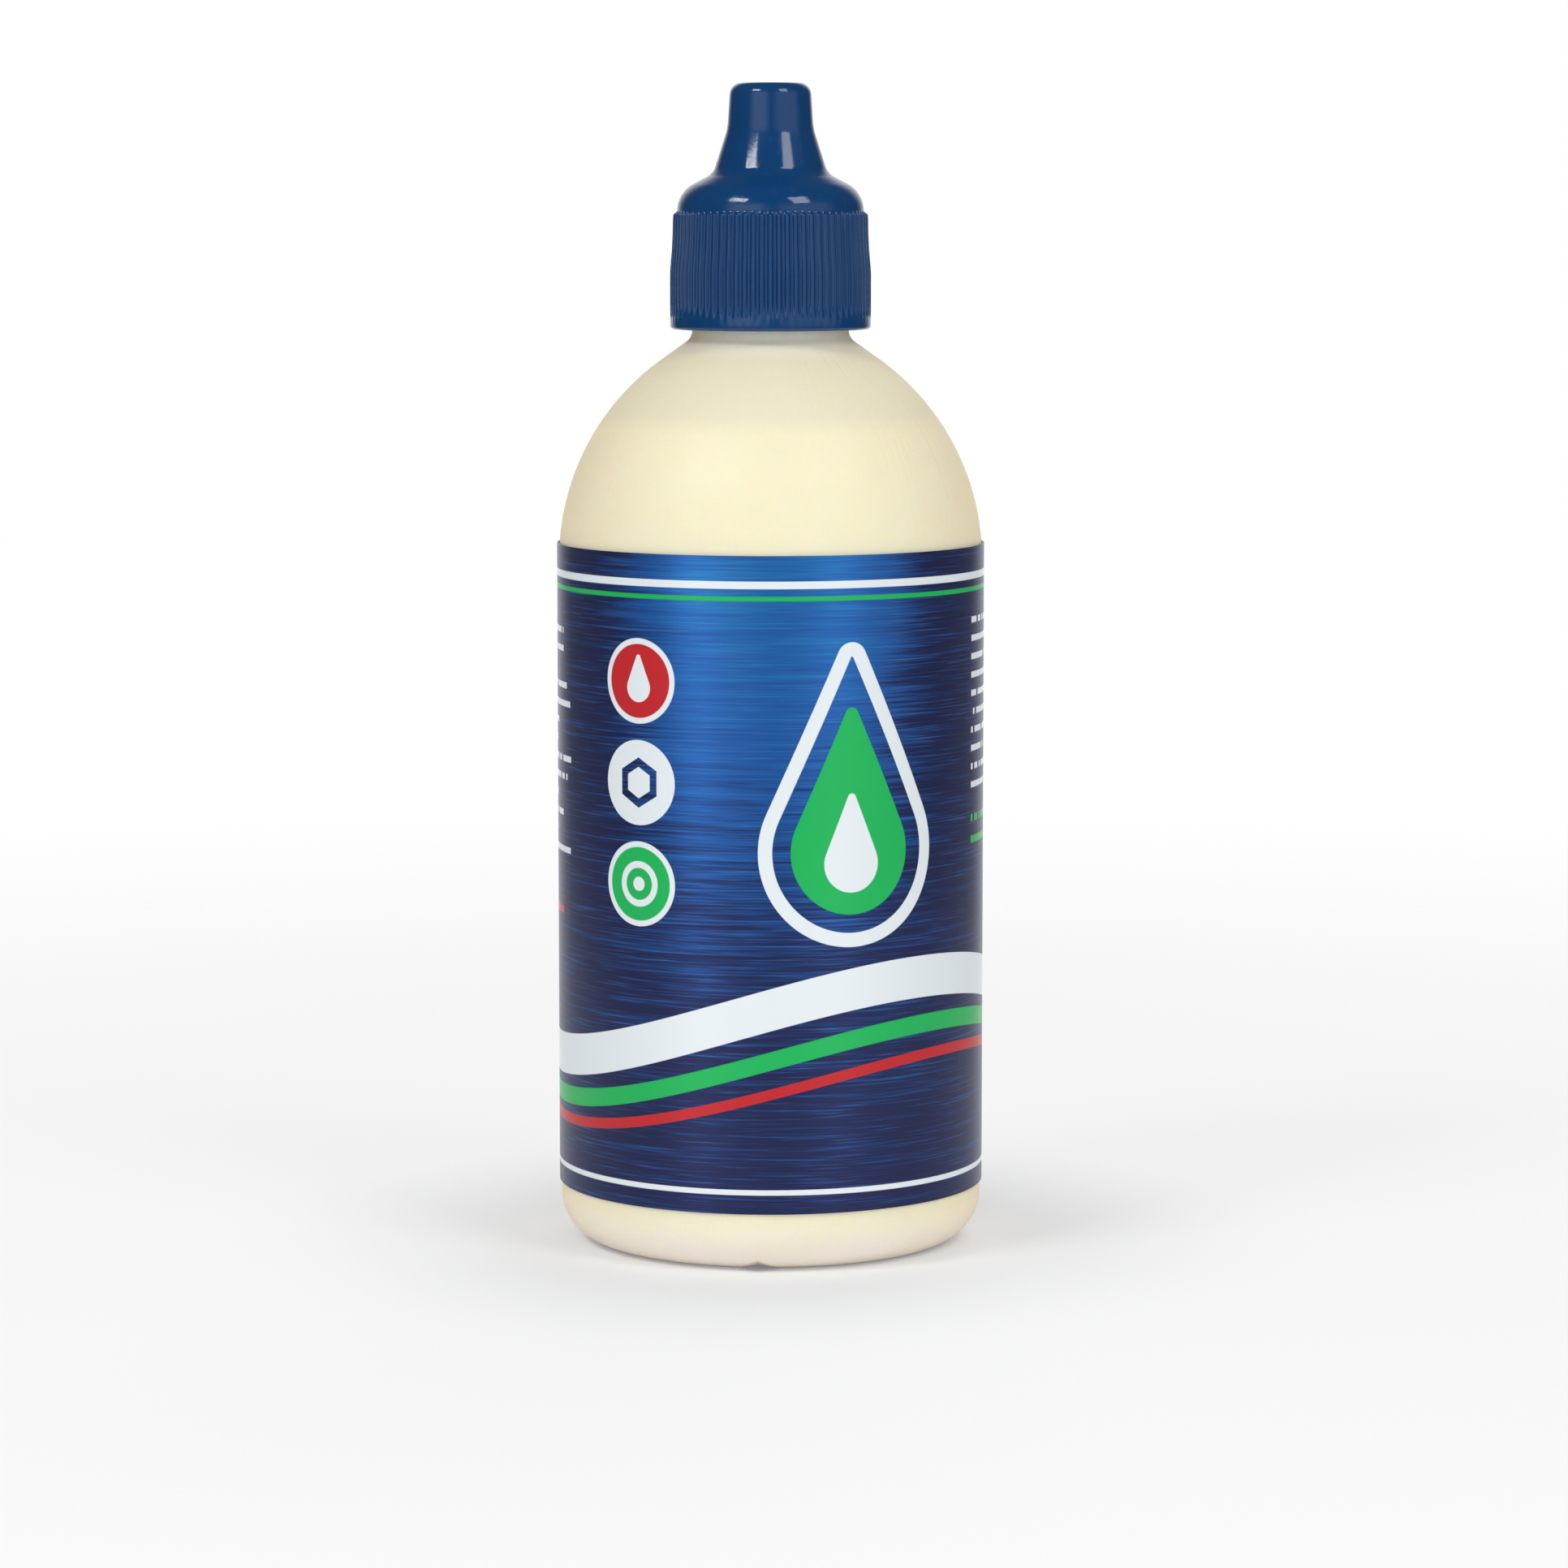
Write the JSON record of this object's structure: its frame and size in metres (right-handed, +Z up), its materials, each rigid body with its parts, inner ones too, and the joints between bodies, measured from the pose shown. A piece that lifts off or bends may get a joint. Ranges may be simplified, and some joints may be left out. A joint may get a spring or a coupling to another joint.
{
  "type": "chain lube bottle",
  "caption": "Small squeeze dropper bottle for chain lube: round cream bottle with a domed shoulder, wrap-round metallic blue label and a ribbed blue screw cap with a tapered spout cover.",
  "frame": {"origin": "centre of the foot ring, on the surface that the bottle stands on", "axes": "+Z up along the bottle's axis, -Y towards the viewer of the label's front, +X to that viewer's right"},
  "size_m": [0.0258, 0.0258, 0.07],
  "materials": {
    "bottle_plastic": "translucent cream blow moulding, satin",
    "label_film": "brushed metallic blue film with printed fields",
    "nozzle_plastic": "natural translucent moulding",
    "cap_plastic": "glossy deep blue moulding",
    "lube_liquid": "milky liquid"
  },
  "bodies": {
    "bottle_body": {"bottle": "bottle_plastic", "label": "label_film", "dropper_nozzle": "nozzle_plastic", "lube": "lube_liquid"},
    "cap_body": {"screw_cap": "cap_plastic"}
  },
  "joints": [
    {"name": "cap_lift", "type": "slide", "parent": "bottle_body", "child": "cap_body", "axis": [0, 0, 1], "range_m": [0, 0.02]}
  ]
}
